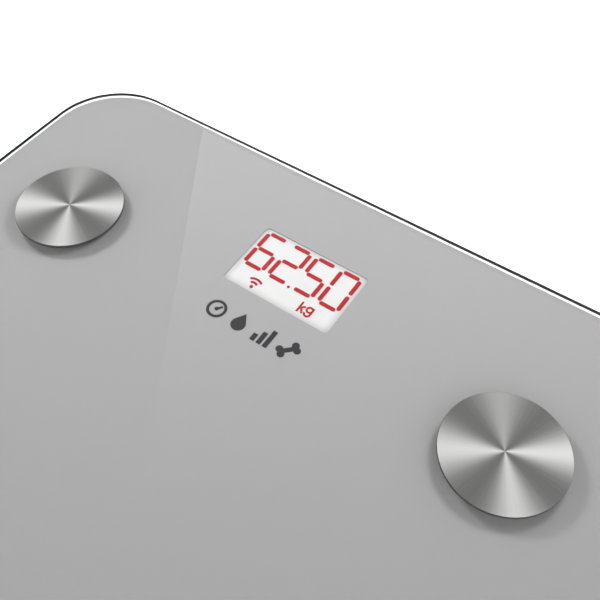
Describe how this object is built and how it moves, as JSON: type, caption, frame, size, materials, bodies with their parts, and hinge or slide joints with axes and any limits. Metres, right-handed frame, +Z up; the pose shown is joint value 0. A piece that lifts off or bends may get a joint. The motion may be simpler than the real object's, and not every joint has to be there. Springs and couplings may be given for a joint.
{
  "type": "digital bathroom scale",
  "caption": "Square glass-topped digital bathroom scale with round steel electrodes, a lit window display, load cells in sprung feet and a battery door underneath.",
  "frame": {"origin": "on the floor under the middle of the platform", "axes": "+Y towards the display end, +X to the right when the display is read, +Z up"},
  "size_m": [0.3, 0.3, 0.026],
  "materials": {
    "glass": "polished safety glass",
    "silver_print": "fine-grained silver-grey ink on the underside of the glass",
    "sign_ink": "dark grey ink between the glass and the silver",
    "foam_tape": "matte foam",
    "steel": "spun or brushed",
    "tinned_copper": "tinned",
    "white_plastic": "natural moulded",
    "diffuser": "milky, lit from behind",
    "red_segment": "lit red",
    "base_plastic": "fine spark texture",
    "grey_plastic": "moulded",
    "rubber": "matte",
    "label": "blank film",
    "board": "green solder mask",
    "black_plastic": "moulded",
    "capacitor_sleeve": "shrink sleeve",
    "lead_white": "soft sleeve",
    "lead_blue": "soft sleeve",
    "lead_red": "soft sleeve",
    "lead_black": "soft sleeve",
    "battery_can": "printed sleeve, plain"
  },
  "bodies": {
    "base": {"glass_platform": "glass", "silver_print": "silver_print", "printed_signs": "sign_ink", "mounting_tape": "foam_tape", "electrode_pads": "foam_tape", "electrode_upper_left": "steel", "electrode_upper_right": "steel", "electrode_lower_left": "steel", "electrode_lower_right": "steel", "electrode_nuts": "steel", "load_cell_upper_left": "steel", "load_cell_upper_right": "steel", "load_cell_lower_left": "steel", "load_cell_lower_right": "steel", "holder_screws": "steel", "board_screws": "steel", "battery_contacts": "steel", "battery_springs": "steel", "wireless_module": "steel", "electrode_terminals": "tinned_copper", "electrode_washers": "white_plastic", "strain_gauges": "white_plastic", "cell_connectors": "white_plastic", "battery_connector": "white_plastic", "display_housing": "white_plastic", "display_diffuser": "diffuser", "display_segments": "red_segment", "base_tray": "base_plastic", "cell_holder_upper_left": "grey_plastic", "cell_holder_upper_right": "grey_plastic", "cell_holder_lower_left": "grey_plastic", "cell_holder_lower_right": "grey_plastic", "rating_label": "label", "circuit_board": "board", "controller_chip": "black_plastic", "unit_switch": "black_plastic", "capacitors": "capacitor_sleeve", "cell_leads": "lead_white", "electrode_leads": "lead_blue", "battery_lead_red": "lead_red", "battery_lead_black": "lead_black", "battery_lower": "battery_can", "battery_middle": "battery_can", "battery_upper": "battery_can"},
    "foot_upper_left": {"foot_upper_left": "grey_plastic", "foot_pad_upper_left": "rubber", "foot_clip_upper_left": "steel"},
    "foot_upper_right": {"foot_upper_right": "grey_plastic", "foot_pad_upper_right": "rubber", "foot_clip_upper_right": "steel"},
    "foot_lower_left": {"foot_lower_left": "grey_plastic", "foot_pad_lower_left": "rubber", "foot_clip_lower_left": "steel"},
    "foot_lower_right": {"foot_lower_right": "grey_plastic", "foot_pad_lower_right": "rubber", "foot_clip_lower_right": "steel"},
    "unit_button": {"unit_button": "grey_plastic", "switch_plunger": "white_plastic"},
    "battery_door": {"battery_door": "base_plastic"}
  },
  "joints": [
    {"name": "foot_upper_left_slide", "type": "slide", "parent": "base", "child": "foot_upper_left", "axis": [0, 0, 1], "range_m": [-0.0004, 0]},
    {"name": "foot_upper_right_slide", "type": "slide", "parent": "base", "child": "foot_upper_right", "axis": [0, 0, 1], "range_m": [-0.0004, 0]},
    {"name": "foot_lower_left_slide", "type": "slide", "parent": "base", "child": "foot_lower_left", "axis": [0, 0, 1], "range_m": [-0.0004, 0]},
    {"name": "foot_lower_right_slide", "type": "slide", "parent": "base", "child": "foot_lower_right", "axis": [0, 0, 1], "range_m": [-0.0004, 0]},
    {"name": "unit_button_press", "type": "slide", "parent": "base", "child": "unit_button", "axis": [0, 0, 1], "range_m": [0, 0.0005], "stiffness_N_per_m": 2000},
    {"name": "battery_door_hinge", "type": "hinge", "parent": "base", "child": "battery_door", "pos_m": [0, 0.0124, 0.0063], "axis": [-1, 0, 0], "range_deg": [0, 80]}
  ]
}
